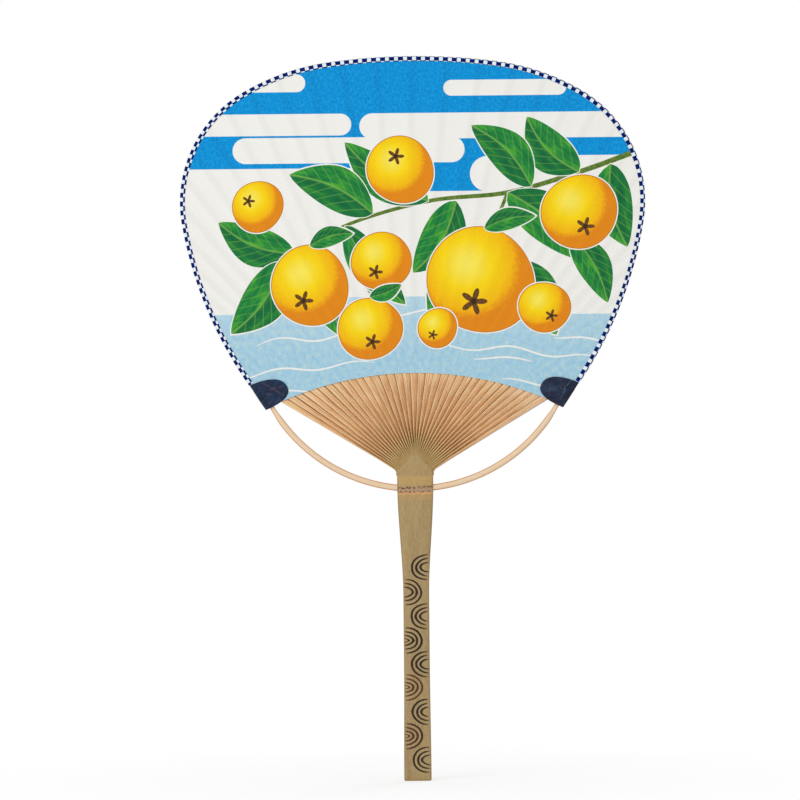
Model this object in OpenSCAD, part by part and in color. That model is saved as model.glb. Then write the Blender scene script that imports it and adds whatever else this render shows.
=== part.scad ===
// Round uchiwa fan with a flat bamboo handle.
// It stands on the end of its handle: X to the right, Y from front to back, Z up.
// The handle and the ribs are one stick of bamboo, split at its upper end. A thin bow passes through
// the stick at its node and holds the spread ribs, which are woven with thread and covered with paper.

/* [Handle] */
// Width at the lower end
end_w = 13.8; // [11:0.1:16]
// Width at the waist, the narrowest place
waist_w = 13.0; // [10:0.1:15]
// Width at the node and above it
neck_w = 18.2; // [17.9:0.1:18.6]
// Thickness of the handle
handle_t = 5.2; // [4.8:0.1:6.5]
// Thickness where the ribs start, after shaving
split_t = 4.5; // [4.3:0.1:4.7]
// Height of the waist
waist_z = 61; // [45:1:75]
// Height where the flare to the neck starts
flare_z = 93; // [80:1:105]
// Height of the bamboo's node, where the bow passes through
node_z = 147.2; // [146:0.1:148.5]
// How far the node stands out of the front
node_rise = 0.25; // [0:0.05:0.5]
// Height of the shoulders, where the outermost ribs leave
shoulder_z = 155.5; // [154:0.1:157]
// Rise of the split line from the shoulders to its point
split_rise = 11; // [8:0.5:13]
// Rounding of the lower end
end_round = 0.6; // [0.3:0.1:1]

/* [Ribs] */
// Number of ribs on each side of the middle one
side_ribs = 17; // [12:1:17]
// Wood left beside the outermost ribs at the split
side_wood = 0.05; // [0.02:0.01:0.2]
// Thickness of a rib
rib_t = 0.42; // [0.34:0.01:0.44]
// Distance from the outermost ribs to the corners, along the leaf's lower edge
corner_gap = 10; // [9:0.1:12]
// Gap between neighbouring ribs at the leaf's lower edge
slat_gap = 0.12; // [0.08:0.01:0.3]
// Tilt of the ribs at the leaf's lower edge
edge_tilt = 4; // [2:0.5:6]
// Distance from the rib tips to the leaf's edge
tip_trim = 0.5; // [0.3:0.1:1]

/* [Leaf outline] */
// Height of the top
leaf_top = 365.2; // [355:0.1:375]
// Radius of the crown
crown_r = 320; // [290:1:350]
// Slope where the crown meets the brow
crown_deg = 7.5; // [6:0.5:9]
// Radius of the brow
brow_r = 116; // [108:1:124]
// Slope where the brow meets the cheek
brow_deg = 30.5; // [28:0.5:33]
// Radius of the cheek
cheek_r = 64.5; // [60:0.5:69]
// Slope where the cheek meets the flank
cheek_deg = 99.5; // [98:0.5:101]
// Radius of the flank
flank_r = 201; // [190:1:212]
// Height of the lower edge in the middle
throat_z = 205.5; // [202:0.1:209]
// Radius of the lower edge
throat_r = 169; // [160:1:178]

/* [Paper] */
// Thickness of a leaf
paper_t = 0.2; // [0.12:0.01:0.3]
// How deep a leaf may sink between two ribs
sink = 0.16; // [0.05:0.01:0.18]
// Width of the edge tape on each side
tape_w = 2.5; // [1.5:0.1:4]
// Thickness of the edge tape
tape_t = 0.12; // [0.08:0.01:0.2]
// Length of a corner patch, inwards from the edge
patch_l = 15.4; // [12:0.1:18]
// Width of a corner patch, along the edge
patch_w = 14.8; // [13:0.1:18]
// Thickness of a corner patch
patch_t = 0.18; // [0.1:0.01:0.3]

/* [Bow] */
// Thickness of the bow
bow_d = 3.2; // [2.4:0.1:3.4]
// Radius of the bow's curve
bow_r = 82.7; // [81:0.1:84]
// Slope of the curve where a tip starts
bow_deg = 53; // [50:0.5:56]
// Slope where the tip enters the paper
tip_deg = 59.5; // [58:0.5:60]
// Width of the bow where it enters the paper
entry_w = 2.3; // [2:0.1:2.6]
// Length of a tip, inside the paper
tip_l = 8; // [6:0.5:9]
// Width of a tip at its end
tip_w = 1.8; // [1.4:0.1:2]
// Thickness of a tip
tip_t = 0.5; // [0.4:0.02:0.54]

/* [Thread] */
// Thickness of the binding thread
thread_d = 0.22; // [0.16:0.02:0.26]
// Distance of the thread from the leaf's lower edge
thread_in = 11; // [10:0.5:13]

/* [Hidden] */

// Clearances between pieces that are glued or drawn tight in the real fan
glue = 0.03;
bow_play = 0.08;

// Finishes
bamboo_skin = [0.70, 0.60, 0.40];
bamboo_pale = [0.90, 0.79, 0.62];
cotton = [0.88, 0.84, 0.74];
sky_paper = [0.62, 0.81, 0.90];
white_paper = [0.95, 0.94, 0.91];
navy_check = [0.16, 0.24, 0.50];
navy_paper = [0.09, 0.14, 0.27];

// Fineness of curves
arc_step = 2.5;
arc_ref = 70;
skin_points = 20;
root_inset = 0.3;
skin_front_power = 6;
skin_back_power = 5;
back_excess = 0.25;
thread_sides = 6;
bow_sides = 14;
hole_faces = 48;
flank_faces = 720;
bow_step = 2.8;
pare_steps = 7;
corner_columns = 4;
corner_rest = 0.25;
rim_in = tape_t + glue;
core = max(rib_t, tip_t) / 2 + glue;
bump = rib_t / 2 + thread_d + 2 * glue;
bump_run = 1.6;
bump_top = 0.65;
tape_stop = 0.4;
patch_points = 9;
patch_power = 2.4;
patch_shear = 0.18;
spare = 1;
tiny = 0.001;

// A point at distance r from the origin, a degrees clockwise from straight up
function dir(a) = [sin(a), cos(a)];
function cross2(a, b) = a.x * b.y - a.y * b.x;
function unit(v) = v / norm(v);
function ease(a, b, z) = let (t = min(1, max(0, (z - a) / (b - a)))) t * t * (3 - 2 * t);
function mirrored(p) = [-p.x, p.y];

// A point in the fan's plane, lifted to depth y
function lift(p, y) = [p.x, y, p.y];

// Leaf outline: four arcs on each side, tangent where they meet
crown_c = [0, leaf_top - crown_r];
brow_c = crown_c + (crown_r - brow_r) * dir(crown_deg);
cheek_c = brow_c + (brow_r - cheek_r) * dir(brow_deg);
flank_c = cheek_c + (cheek_r - flank_r) * dir(cheek_deg);
throat_c = [0, throat_z - throat_r];

// The corner, where the flank meets the lower edge
corner = let (v = throat_c - flank_c, d = norm(v), u = v / d,
              a = (flank_r * flank_r - throat_r * throat_r + d * d) / (2 * d),
              h = sqrt(flank_r * flank_r - a * a))
         flank_c + a * u + h * [-u.y, u.x];
corner_deg = atan2(corner.x - flank_c.x, corner.y - flank_c.y);
corner_throat_deg = atan2(corner.x, corner.y - throat_c.y);

// Angle between neighbouring ribs, along the leaf's lower edge
spread_deg = (corner_throat_deg - corner_gap / throat_r * 180 / PI) / side_ribs;

// Each arc: centre, radius, slope at its start and end
LEAF_ARCS = [[crown_c, crown_r, 0, crown_deg], [brow_c, brow_r, crown_deg, brow_deg],
             [cheek_c, cheek_r, brow_deg, cheek_deg], [flank_c, flank_r, cheek_deg, corner_deg]];

function arc_points(arc, inset) =
    let (n = ceil((arc[3] - arc[2]) / arc_step * max(1, arc[1] / arc_ref)))
    [for (i = [0 : n - 1]) arc[0] + (arc[1] - inset) * dir(arc[2] + (arc[3] - arc[2]) * i / n)];

// Where a line from p along d leaves a circle that holds p
function circle_exit(p, d, c, r) = let (v = p - c, b = v * d) p + (sqrt(b * b - v * v + r * r) - b) * d;

// Where a line from p along d meets the leaf's outline, moved inwards by inset
function right_exit(p, d, inset) =
    [for (arc = LEAF_ARCS)
        let (h = circle_exit(p, d, arc[0], arc[1] - inset), a = atan2(h.x - arc[0].x, h.y - arc[0].y))
        if (a > arc[2] - tiny && a < arc[3] + tiny) h][0];
function leaf_exit(p, d, inset) =
    p.x < 0 ? mirrored(right_exit(mirrored(p), mirrored(d), inset)) : right_exit(p, d, inset);

// Rib number k, from 0 in the middle: its root on the split line, its place on the lower edge, its course
split_pitch = ((neck_w - rib_t) / 2 - side_wood) / side_ribs;
function split_z(x) = shoulder_z + split_rise * (1 - abs(x) / (neck_w / 2));
function rib_root(k) = [k * split_pitch, split_z(k * split_pitch)];
function rib_edge(k) = throat_c + throat_r * dir(k * spread_deg);
function rib_kink(k) = rib_root(k) + [0, root_rise];
function rib_dir(k) = unit(rib_edge(k) - rib_kink(k));
function rib_w(k) = abs(cross2(rib_edge(k + 0.5) - rib_edge(k - 0.5), rib_dir(k))) - slat_gap;

// Stations along a rib. Each has its place, its direction and its tilt, from edge-on at the root to flat
bend = 2.5;
root_depth = 2;
root_low = 0.5;
root_rise = 1;
flat_at = 8;
twist_steps = 4;
root_rings = 5;
function rib_length(k) = norm(rib_edge(k) - rib_kink(k)) - bend;
function rib_stations(k) =
    let (r = rib_root(k), e = rib_edge(k), d = rib_dir(k), up = [0, 1],
         kink = rib_kink(k), a = r - [0, root_low], b = kink + bend * d, l = rib_length(k))
    concat([[r - [0, root_depth], up, 90], [a, up, 90]],
           [for (t = [1 / 3, 2 / 3])
               [(1 - t) * (1 - t) * a + 2 * t * (1 - t) * kink + t * t * b,
                unit((1 - t) * (kink - a) + t * (b - kink)), 90]],
           [for (t = [0 : 1 / twist_steps : 1]) [b + t * l * d, d, edge_tilt + (90 - edge_tilt) * (1 - t)]],
           [[e + flat_at * d, d, 0]]);

// Half the depth that the shaved stick has at distance x from its middle
function split_depth(x) =
    split_t / 2 * pow(1 - pow(min(1, abs(x) / (neck_w / 2)), skin_front_power), 1 / skin_front_power);

// Corners of a rib's section: across it the width w tilts by a, so that its left edge comes forward
function rib_ring(p, d, a, w) =
    let (n = [d.y, -d.x])
    [for (c = [[-1, -1], [1, -1], [1, 1], [-1, 1]])
        let (u = c.x * w / 2, v = c.y * rib_t / 2)
        lift(p + (u * cos(a) - v * sin(a)) * n, u * sin(a) + v * cos(a))];

// The tip is trimmed along the leaf's outline, so each edge of the rib has its own length
function rib_tip(k) =
    let (e = rib_edge(k), d = rib_dir(k), n = [d.y, -d.x], w = rib_w(k))
    [for (c = [[-1, -1], [1, -1], [1, 1], [-1, 1]])
        let (h = leaf_exit(e + c.x * w / 2 * n, d, tip_trim)) lift(h, c.y * rib_t / 2)];

function rib_rings(k) =
    let (w = rib_w(k), deep = 2 * (split_depth(abs(k) * split_pitch + rib_t / 2) - root_inset),
         s = rib_stations(k))
    concat([for (i = [0 : len(s) - 1])
               let (wide = max(deep, rib_t + (w - rib_t) * i / root_rings))
               rib_ring(s[i][0], s[i][1], s[i][2], i < root_rings ? min(w, wide) : w)],
           [rib_tip(k)]);

// A closed solid through rings of equal length, with flat ends
module skin_rings(rings) {
    m = len(rings[0]);
    n = len(rings);
    polyhedron(
        [for (r = rings) each r],
        concat([[for (j = [0 : m - 1]) j]],
               [for (i = [0 : n - 2], j = [0 : m - 1])
                   each let (a = i * m + j, b = i * m + (j + 1) % m) [[a, b + m, b], [a, a + m, b + m]]],
               [[for (j = [m - 1 : -1 : 0]) (n - 1) * m + j]]));
}

// Handle: half its width, its front and its back at height z
function half_w(z) =
    (z < waist_z ? end_w + (waist_w - end_w) * ease(0, waist_z, z)
                 : waist_w + (neck_w - waist_w) * ease(flare_z, node_z + node_reach, z)) / 2;
node_reach = 3;
node_soft = 1.2;
shave_from = 2;
function shaved(z) = (handle_t - split_t) / 2 * ease(node_z + shave_from, shoulder_z, z);
function node_swell(z) = node_rise * exp(-pow((z - node_z) / node_soft, 2));
function front_y(z) = handle_t / 2 - node_rise - shaved(z) + node_swell(z);
function back_y(z) = handle_t / 2 - shaved(z);

function signed_pow(v, p) = sign(v) * pow(abs(v), p);
function stick_ring(z, shrink) =
    [for (i = [0 : skin_points - 1])
        let (t = 360 * i / skin_points, front = sin(t) < 0,
             q = 2 / (front ? skin_front_power : skin_back_power),
             h = front ? front_y(z) : back_y(z) + back_excess)
        [(half_w(z) - shrink) * signed_pow(cos(t), q), (h - shrink) * signed_pow(sin(t), q), z]];

stick_top = shoulder_z + split_rise + spare;
STICK_LEVELS = concat([end_round, node_reach], [for (i = [1 : 5]) flare_z * i / 5],
                      [for (i = [1 : 7]) flare_z + (node_z - node_reach - flare_z) * i / 7],
                      [for (i = [-1 : 1]) node_z + i * node_soft / 2], [node_z + node_reach],
                      [for (i = [0 : 2]) shoulder_z + (stick_top - shoulder_z) * i / 2]);

module handle_body() {
    skin_rings(concat([stick_ring(0, end_round / 2)], [for (z = STICK_LEVELS) stick_ring(z, 0)]));
}

// What stays of the stick in front view: all of it below the split line
module below_split() {
    rotate([90, 0, 0])
        linear_extrude(height = 4 * handle_t, center = true)
            polygon([[-neck_w, -spare], [neck_w, -spare], [neck_w, shoulder_z - split_rise],
                     [neck_w / 2, shoulder_z], [0, shoulder_z + split_rise], [-neck_w / 2, shoulder_z],
                     [-neck_w, shoulder_z - split_rise]]);
}

// The flat back, planed on the handle and shaved towards the ribs
module planed_back() {
    rotate([90, 0, 90])
        linear_extrude(height = 2 * neck_w, center = true)
            polygon([[-handle_t, -spare], [handle_t / 2, -spare], [handle_t / 2, node_z + shave_from],
                     [split_t / 2, shoulder_z], [split_t / 2, stick_top + spare],
                     [-handle_t, stick_top + spare]]);
}

// The straight hole for the bow allows for the bow's curve inside the stick
bow_c = [0, node_z + bow_r];
bow_sag = bow_r - sqrt(bow_r * bow_r - neck_w * neck_w / 4);
module bow_hole() {
    translate([0, 0, node_z + bow_sag / 2])
        rotate([0, 90, 0])
            cylinder(h = 2 * neck_w, d = bow_d + bow_sag + 2 * bow_play, center = true, $fn = hole_faces);
}

module rib(k) {
    skin_rings(rib_rings(k));
}

module bamboo_stick() {
    color(bamboo_skin) {
        difference() {
            intersection() {
                handle_body();
                below_split();
                planed_back();
            }
            bow_hole();
        }
        for (k = [-side_ribs : side_ribs]) rib(k);
    }
}

// Bow: a round arc, pared flat near its ends, with a straight tip at each end inside the paper
function bow_out(a) = [sin(a), -cos(a)];
function bow_angles() =
    let (pared = [for (i = [0 : pare_steps - 1]) tip_deg + (bow_deg - tip_deg) * i / pare_steps],
         n = ceil(2 * bow_deg / bow_step))
    concat([for (a = pared) -a], [for (i = [0 : n]) bow_deg * (2 * i / n - 1)],
           [for (i = [pare_steps - 1 : -1 : 0]) pared[i]]);
function bow_ring(c, n, w, t) =
    [for (i = [0 : bow_sides - 1])
        let (a = 360 * i / bow_sides) lift(c + w / 2 * cos(a) * n, t / 2 * sin(a))];
function bow_station(a) =
    let (f = ease(bow_deg, tip_deg, abs(a)))
    bow_ring(bow_c + bow_r * bow_out(a), bow_out(a),
             bow_d + (entry_w - bow_d) * f, bow_d + (tip_t - bow_d) * f);
function bow_tip(side) =
    let (a = side * tip_deg)
    bow_ring(bow_c + bow_r * bow_out(a) + side * tip_l * [cos(a), sin(a)], bow_out(a), tip_w, tip_t);

module bow() {
    color(bamboo_pale)
        skin_rings(concat([bow_tip(-1)], [for (a = bow_angles()) bow_station(a)], [bow_tip(1)]));
}

// Binding thread: over one rib and under the next, through the gaps between them
thread_arc_r = throat_r + thread_in;
function rib_side_point(k, side, r) =
    let (d = rib_dir(k), n = [d.y, -d.x])
    circle_exit(rib_edge(k) + side * rib_w(k) / 2 * n, d, throat_c, r);
function gap_middle(k, r) = (rib_side_point(k, 1, r) + rib_side_point(k + 1, -1, r)) / 2;
function thread_ring(p, u, v) =
    let (out = unit(p - throat_c), along = [out.y, -out.x])
    [for (j = [0 : thread_sides - 1])
        let (a = 360 * j / thread_sides, s = thread_d / 2 * sin(a))
        lift(p + thread_d / 2 * cos(a) * out + s * u * along, s * v)];
function thread_rings() =
    let (y = rib_t / 2 + glue + thread_d / 2, n = side_ribs)
    [for (k = [-n - 1 : n])
        let (end = k < -n || k == n, over = (k + n + 1) % 2 == 0 ? 1 : -1,
             p = k < -n ? rib_side_point(-n, 0, thread_arc_r)
               : k == n ? rib_side_point(n, 0, thread_arc_r) : gap_middle(k, thread_arc_r))
        each (end ? [[for (q = thread_ring(p, 0, -1)) q + [0, (k == n ? over : -over) * y, 0]]]
                  : [for (e = [1, -1]) [for (q = thread_ring(p, -over, -1)) q + [0, over * e * y, 0]]])];

module binding_thread() {
    color(cotton) skin_rings(thread_rings());
}

// A leaf is a sheet laid over the ribs. Its columns run along the edges of the ribs and along the valleys
// between them. Each column has its start on the lower edge and its course.
function along(p, d) = [circle_exit(p, d, throat_c, throat_r), d];
function rib_column(k, side) =
    let (d = rib_dir(k)) along(rib_edge(k) + side * (rib_w(k) / 2 + glue) * [d.y, -d.x], d);
function valley_column(k) =
    let (a = rib_column(k, 1), b = rib_column(k + 1, -1)) along((a[0] + b[0]) / 2, unit(a[1] + b[1]));
function corner_column(i) =
    let (a = rib_column(side_ribs, 1), start = atan2(a[0].x, a[0].y - throat_c.y),
         last = corner_throat_deg - corner_rest, f = i / corner_columns,
         p = throat_c + throat_r * dir(start + (last - start) * f),
         top = leaf_exit(a[0], a[1], 0), top_deg = atan2(top.x - flank_c.x, top.y - flank_c.y),
         q = flank_c + (flank_r - rim_in) * dir(top_deg + (corner_deg - corner_rest - top_deg) * f))
    [p, unit(q - p)];
function right_columns() =
    concat([for (k = [0 : side_ribs - 1])
               each [[rib_column(k, 1), k, 1], [valley_column(k), k + 0.5, 0],
                     [rib_column(k + 1, -1), k + 1, 1]]],
           [[rib_column(side_ribs, 1), side_ribs, 1]],
           [for (i = [1 : corner_columns]) [corner_column(i), side_ribs, 1]]);
function left_columns() =
    let (c = right_columns(), n = len(c))
    [for (i = [n - 1 : -1 : 0]) [[mirrored(c[i][0][0]), mirrored(c[i][0][1])], -c[i][1], c[i][2]]];

// How far along a column it has risen by h above the leaf's lower edge
function climb(p, d, h) = norm(circle_exit(p, d, throat_c, throat_r + h) - p);

// Depth of the leaf's inner face where a column starts. Where the edge cuts a rib on the slant, one side
// of the rib starts below the rib's middle, where it is tilted more.
function edge_level(k, p) =
    let (below = max(0, (rib_edge(k) - p) * rib_dir(k)),
         tilt = edge_tilt + (90 - edge_tilt) * below / rib_length(k))
    rib_w(k) / 2 * sin(tilt) + rib_t / 2 + glue;

// Shares of a short column's length that its rows keep to
ROW_SHARES = [0, 0.4, 0.52, 0.56, 0.72, 0.78, 0.88, 1];

// Points of a column on the leaf's inner face: distance along it, and the depth there
function column_points(c) =
    let (p = c[0][0], d = c[0][1], l = norm(leaf_exit(p, d, rim_in) - p), drop = c[2] == 1 ? 0 : sink,
         rows = [[0, edge_level(c[1], p) - drop], [flat_at, core - drop],
                 [climb(p, d, thread_in - bump_run), core], [climb(p, d, thread_in - bump_top), bump],
                 [climb(p, d, thread_in + bump_top), bump], [climb(p, d, thread_in + bump_run), core],
                 [l - tape_w, core - drop], [l, core]],
         last = len(rows) - 1)
    [for (i = [0 : last])
        let (s = i < last - 1 ? min(rows[i][0], ROW_SHARES[i] * l) : max(rows[i][0], ROW_SHARES[i] * l))
        [p + s * d, rows[i][1]]];

module leaf_sheet(side) {
    columns = concat(left_columns(), right_columns());
    grid = [for (c = columns) column_points(c)];
    m = len(grid[0]);
    n = len(grid);
    size = m * n;
    quads = concat(
        [for (i = [0 : n - 2], j = [0 : m - 2])
            each let (a = i * m + j, b = a + m)
                [[a, a + 1, b + 1, b], [size + a, size + b, size + b + 1, size + a + 1]]],
        [for (i = [0 : n - 2])
            each let (a = i * m, b = a + m, c = a + m - 1, d = b + m - 1)
                [[a, b, size + b, size + a], [d, c, size + c, size + d]]],
        [for (j = [0 : m - 2])
            each let (a = j, b = (n - 1) * m + j)
                [[a + 1, a, size + a, size + a + 1], [b, b + 1, size + b + 1, size + b]]]);
    polyhedron(
        concat([for (c = grid, q = c) lift(q[0], side * q[1])],
               [for (c = grid, q = c) lift(q[0], side * (q[1] + paper_t))]),
        [for (q = quads) each side > 0 ? [[q[0], q[1], q[2]], [q[0], q[2], q[3]]]
                                       : [[q[2], q[1], q[0]], [q[3], q[2], q[0]]]]);
}

module front_leaf() {
    color(sky_paper) leaf_sheet(-1);
}

module back_leaf() {
    color(white_paper) leaf_sheet(1);
}

// Edge tape: a strip folded over the rims of both leaves, open where the corner patches are
tape_in = core + paper_t + glue;
patch_mid_deg = corner_deg - patch_w / 2 / flank_r * 180 / PI;
tape_end_deg = patch_mid_deg - (patch_w / 2 + tape_stop) / flank_r * 180 / PI;
function half_tape(inset) =
    concat([for (i = [0 : 2]) each arc_points(LEAF_ARCS[i], inset)],
           arc_points([flank_c, flank_r, cheek_deg, tape_end_deg], inset),
           [flank_c + (flank_r - inset) * dir(tape_end_deg)]);
function tape_edge(inset) =
    let (h = half_tape(inset), n = len(h)) concat([for (i = [n - 1 : -1 : 1]) mirrored(h[i])], h);
function backwards(v) = [for (i = [len(v) - 1 : -1 : 0]) v[i]];

module in_depth(h) {
    rotate([90, 0, 0]) linear_extrude(height = 2 * h, center = true) children();
}

module edge_tape() {
    color(navy_check)
        difference() {
            in_depth(tape_in + tape_t) polygon(concat(tape_edge(0), backwards(tape_edge(tape_w))));
            in_depth(tape_in)
                polygon(concat([[-neck_w, shoulder_z]], tape_edge(tape_t), [[neck_w, shoulder_z]]));
        }
}

// Corner patch: paper folded over the corner from front to back, with an arched inner edge
patch_in = rib_t / 2 + thread_d + paper_t + 3 * glue;
patch_base = flank_c + (flank_r + spare) * dir(patch_mid_deg);
patch_out_r = flank_r - rim_in + glue + patch_t;
module patch_arch() {
    n = -dir(patch_mid_deg);
    u = [n.y, -n.x];
    polygon([for (i = [-patch_points : patch_points])
        let (a = 90 * i / patch_points, t = patch_l * pow(cos(a), 2 / patch_power),
             w = patch_w / 2 * sign(a) * pow(abs(sin(a)), 2 / patch_power))
        patch_base + (t + spare) * n + (w - patch_shear * t) * u]);
}

module corner_patch() {
    difference() {
        intersection() {
            in_depth(patch_in + patch_t) patch_arch();
            in_depth(handle_t) translate(flank_c) circle(r = patch_out_r, $fn = flank_faces);
        }
        in_depth(patch_in) translate(flank_c) circle(r = patch_out_r - patch_t, $fn = flank_faces);
    }
}

module corner_patch_left() {
    color(navy_paper) mirror([1, 0, 0]) corner_patch();
}

module corner_patch_right() {
    color(navy_paper) corner_patch();
}

bamboo_stick();
bow();
binding_thread();
front_leaf();
back_leaf();
edge_tape();
corner_patch_left();
corner_patch_right();
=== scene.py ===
import bpy, math, random
import numpy as np
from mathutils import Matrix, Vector
from mathutils.geometry import delaunay_2d_cdt


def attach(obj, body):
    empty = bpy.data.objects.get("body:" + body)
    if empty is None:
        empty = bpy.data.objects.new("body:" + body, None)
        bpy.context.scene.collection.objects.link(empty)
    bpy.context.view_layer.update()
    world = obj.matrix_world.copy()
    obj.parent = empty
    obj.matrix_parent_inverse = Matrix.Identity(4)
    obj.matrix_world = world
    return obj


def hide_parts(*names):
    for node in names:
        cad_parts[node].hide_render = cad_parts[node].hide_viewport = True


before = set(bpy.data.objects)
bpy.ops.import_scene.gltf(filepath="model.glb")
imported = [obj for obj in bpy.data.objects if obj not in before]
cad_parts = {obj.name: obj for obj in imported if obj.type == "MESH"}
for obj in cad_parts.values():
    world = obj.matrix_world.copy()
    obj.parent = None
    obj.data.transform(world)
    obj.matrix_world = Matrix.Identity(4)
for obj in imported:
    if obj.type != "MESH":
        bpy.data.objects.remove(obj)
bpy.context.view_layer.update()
scene = bpy.context.scene
MM = 0.001
RAD = math.radians

# Sizes are in mm. A point of the fan's plane is a complex number, x + z i, and angles in that plane run
# clockwise from straight up.

# the handle: heights, widths, thicknesses, the swelling at its node and how square its front is
WAIST_Z, FLARE_Z, NODE_Z, SHOULDER_Z, SPLIT_RISE = 61.0, 93.0, 147.2, 155.5, 11.0
END_W, WAIST_W, NECK_W, HANDLE_T, SPLIT_T = 13.8, 13.0, 18.2, 5.2, 4.5
NODE_RISE, NODE_SOFT, FRONT_POWER, END_ROUND = 0.25, 1.2, 6, 0.7
# the ribs: number on each side of the middle one, pitch at the split, angle between two, thickness,
# the gap that the CAD leaves between two, how far they lap over each other here, tilt at the hem
SIDE_RIBS, SPLIT_PITCH, SPREAD, RIB_T = 17, 0.52, RAD(1.34095), 0.42
SLAT_GAP, LAP, HEM_TILT = 0.12, 0.12, 8.0
# the leaf: its hem's arc, half the room between the papers, the paper, how far it sinks between ribs
THROAT_R, THROAT_C = 169.0, 36.5j
CORE, PAPER_T, SINK, GLUE, RIM_INSET = 0.28, 0.2, 0.16, 0.03, 0.15
TAPE_W, TAPE_T = 2.5, 0.12
BOW_R, BOW_D = 82.7, 3.2
BOW_C = (NODE_Z + BOW_R) * 1j


def direction(a):
    return np.sin(a) + 1j * np.cos(a)


def slope_of(v):
    return np.arctan2(np.real(v), np.imag(v))


def unit(v):
    return v / abs(v)


def dot(a, b):
    return np.real(np.conj(a) * b)


def cross(a, b):
    return np.imag(np.conj(a) * b)


def ease(a, b, x):
    t = np.clip((x - a) / (b - a), 0, 1)
    return t * t * (3 - 2 * t)


# the leaf's outline: four arcs on each side, from the top down to the corner
LEAF_TOP, CROWN_R, BROW_R, CHEEK_R, FLANK_R = 365.2, 320.0, 116.0, 64.5, 201.0
CROWN_A, BROW_A, CHEEK_A = RAD(7.5), RAD(30.5), RAD(99.5)
CROWN_C = (LEAF_TOP - CROWN_R) * 1j
BROW_C = CROWN_C + (CROWN_R - BROW_R) * direction(CROWN_A)
CHEEK_C = BROW_C + (BROW_R - CHEEK_R) * direction(BROW_A)
FLANK_C = CHEEK_C + (CHEEK_R - FLANK_R) * direction(CHEEK_A)
CORNER = 74.5784 + 188.154j
CORNER_A = float(slope_of(CORNER - FLANK_C))
ARCS = [(CROWN_C, CROWN_R, 0.0, CROWN_A), (BROW_C, BROW_R, CROWN_A, BROW_A),
        (CHEEK_C, CHEEK_R, BROW_A, CHEEK_A), (FLANK_C, FLANK_R, CHEEK_A, CORNER_A)]


def outline(inset, step, end):
    """The right half of the leaf's outline from its top down, as points about step mm apart."""
    points = []
    for c, r, a, b in ARCS:
        b = min(b, end)
        n = max(2, int(r * (b - a) / step))
        points += [c + (r - inset) * direction(a + (b - a) * i / n) for i in range(n)]
    points.append(FLANK_C + (FLANK_R - inset) * direction(end))
    return np.array(points)


def both_sides(half):
    """A half outline and its mirror image, from the left end over the top to the right end."""
    return np.concatenate([-np.conj(half[:0:-1]), half])


def edge_distance(p):
    """How far a point lies inside the outline."""
    q = np.abs(np.real(p)) + 1j * np.imag(p)
    best = np.full(np.shape(q), 1e9)
    for c, r, a, b in ARCS:
        s = slope_of(q - c)
        best = np.where((s >= a - 1e-4) & (s <= b + 1e-4), np.minimum(best, r - np.abs(q - c)), best)
    return best


def circle_exit(p, d, c, r):
    """Where the line from p towards d leaves a circle."""
    b = dot(p - c, d)
    return p + (np.sqrt(b * b - np.abs(p - c) ** 2 + r * r) - b) * d


def leaf_exit(p, d, inset):
    """Where the line from p towards d leaves the outline."""
    flip = p.real < 0
    if flip:
        p, d = -np.conj(p), -np.conj(d)
    for c, r, a, b in ARCS:
        h = circle_exit(p, d, c, r - inset)
        if a - 1e-4 < slope_of(h - c) < b + 1e-4:
            break
    return -np.conj(h) if flip else h


def split_line(x):
    """Height of the pointed line on which the skin ends and the ribs begin."""
    return SHOULDER_Z + SPLIT_RISE * (1 - abs(x) / (NECK_W / 2))


# A rib has a number k, 0 in the middle. These give its root, its place at the hem, its direction and width.
def rib_root(k):
    x = k * SPLIT_PITCH
    return x + 1j * split_line(x)


def rib_edge(k):
    return THROAT_C + THROAT_R * direction(k * SPREAD)


def rib_dir(k):
    return unit(rib_edge(k) - rib_root(k) - 1j)


def rib_w(k):
    return abs(cross(rib_edge(k + 0.5) - rib_edge(k - 0.5), rib_dir(k))) - SLAT_GAP


def rib_coordinate(p):
    """Which rib's centre line a point lies on, as a number that grows evenly from rib to rib."""
    lo, hi = np.full(p.shape, -26.0), np.full(p.shape, 26.0)
    for _ in range(30):
        mid = (lo + hi) / 2
        right = cross(rib_dir(mid), p - rib_edge(mid)) < 0
        lo, hi = np.where(right, mid, lo), np.where(right, hi, mid)
    return (lo + hi) / 2


def rib_offset(p):
    """How far a point lies from the nearest rib's centre line, and how far above the hem."""
    near = np.clip(np.round(rib_coordinate(p)), -SIDE_RIBS, SIDE_RIBS)
    return np.abs(cross(rib_dir(near), p - rib_edge(near))), np.abs(p - THROAT_C) - THROAT_R


def relief(p):
    """Height of a leaf's inner face over the middle plane: high on the ribs, sunk between them, lifted at
    the hem and over the thread."""
    off, depth = rib_offset(p)
    over = off - 1.75
    room = np.maximum(0.3, depth * 0.035 + 0.3)
    sag = SINK * np.clip(over / room, 0, 1) * np.clip((edge_distance(p) - 0.3) / 6, 0, 1)
    level = CORE + 0.24 * (1 - ease(0, 8, depth))
    level = level + 0.15 * ease(9.4, 10.4, depth) * (1 - ease(11.6, 12.6, depth))
    return level - sag * np.clip(0.2 + depth / 30, 0, 1)


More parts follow.
